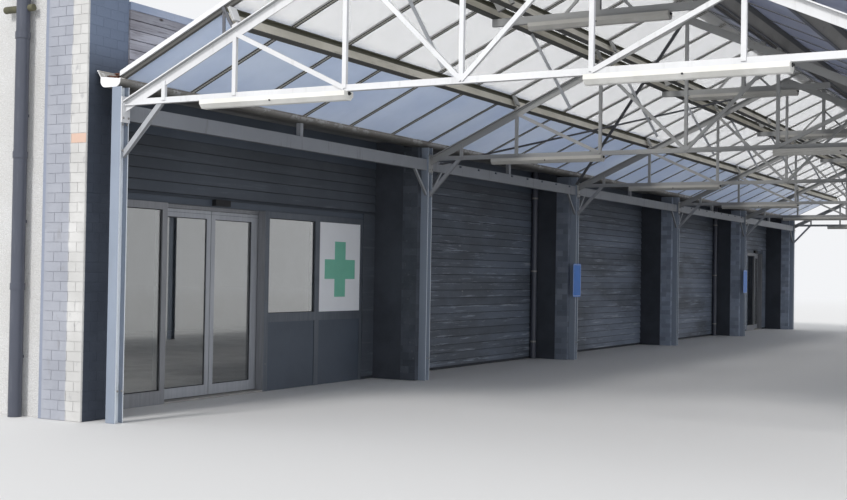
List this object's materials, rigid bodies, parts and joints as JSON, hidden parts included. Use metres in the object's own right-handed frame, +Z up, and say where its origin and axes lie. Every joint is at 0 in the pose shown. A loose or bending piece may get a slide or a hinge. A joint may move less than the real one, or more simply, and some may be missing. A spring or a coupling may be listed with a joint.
{
  "type": "pharmacy building with a glazed canopy",
  "caption": "Single-storey shop building with a recessed boarded front, sliding glass doors and a steel truss canopy with translucent roof sheets.",
  "frame": {"origin": "middle of the footprint on the ground", "axes": "+X to the right along the front as a visitor faces it, +Y into the building, +Z up; the canopy is on the -Y side"},
  "size_m": [30.352, 19.978, 5.2953],
  "materials": {
    "concrete": "matte",
    "roughcast": "matte",
    "roofing": "matte",
    "parapet_boards": "matte",
    "coping_metal": "satin",
    "painted_brick": "matte",
    "dark_brick": "matte",
    "dark_plaster": "matte",
    "dark_boards": "matte",
    "door_aluminium": "satin",
    "dark_panel": "satin",
    "white_panel": "gloss",
    "window_glass": "gloss",
    "black_plastic": "matte",
    "pipe_paint": "satin",
    "blue_plate": "gloss",
    "canopy_paint": "satin",
    "purlin_paint": "matte",
    "bar_aluminium": "satin",
    "clear_sheet": "gloss",
    "gutter_metal": "matte",
    "lamp_housing": "satin"
  },
  "bodies": {
    "building": {"floor_slab": "concrete", "left_wall": "roughcast", "right_wall": "roughcast", "rear_wall": "roughcast", "roof_deck": "roofing", "front_parapet": "parapet_boards", "parapet_coping": "coping_metal", "corner_pier": "painted_brick", "brick_piers": "dark_brick", "pier_returns": "dark_plaster", "front_walls": "dark_boards", "door_bay_walls": "dark_boards", "door_posts": "door_aluminium", "door_rails": "door_aluminium", "head_strips": "dark_panel", "lower_panels": "dark_panel", "sign_panel": "white_panel", "fixed_glass": "window_glass", "door_headers": "door_aluminium", "door_sensors": "black_plastic", "downpipes": "pipe_paint", "column_plates": "blue_plate", "wall_columns": "canopy_paint", "front_columns": "canopy_paint", "tie_beams": "canopy_paint", "canopy_braces": "canopy_paint", "purlins": "purlin_paint", "glazing_bars": "bar_aluminium", "roof_sheets": "clear_sheet", "ridge_cap": "bar_aluminium", "gutters": "gutter_metal", "roof_bracing": "canopy_paint", "strip_lamps": "lamp_housing", "lamp_rails": "canopy_paint", "truss_1": "canopy_paint", "truss_2": "canopy_paint", "truss_3": "canopy_paint", "truss_4": "canopy_paint", "truss_5": "canopy_paint", "truss_6": "canopy_paint"},
    "left_leaf": {"left_leaf_frame": "door_aluminium", "left_leaf_glass": "window_glass"},
    "right_leaf": {"right_leaf_frame": "door_aluminium", "right_leaf_glass": "window_glass"},
    "far_leaf": {"far_leaf_frame": "door_aluminium", "far_leaf_glass": "window_glass"}
  },
  "joints": [
    {"name": "left_leaf_slide", "type": "slide", "parent": "building", "child": "left_leaf", "axis": [-1, 0, 0], "range_m": [0, 0.86]},
    {"name": "right_leaf_slide", "type": "slide", "parent": "building", "child": "right_leaf", "axis": [1, 0, 0], "range_m": [0, 0.86]},
    {"name": "far_leaf_slide", "type": "slide", "parent": "building", "child": "far_leaf", "axis": [-1, 0, 0], "range_m": [0, 0.7]}
  ],
  "couplings": [
    {"joint": "right_leaf_slide", "follows": "left_leaf_slide", "ratio": 1}
  ]
}
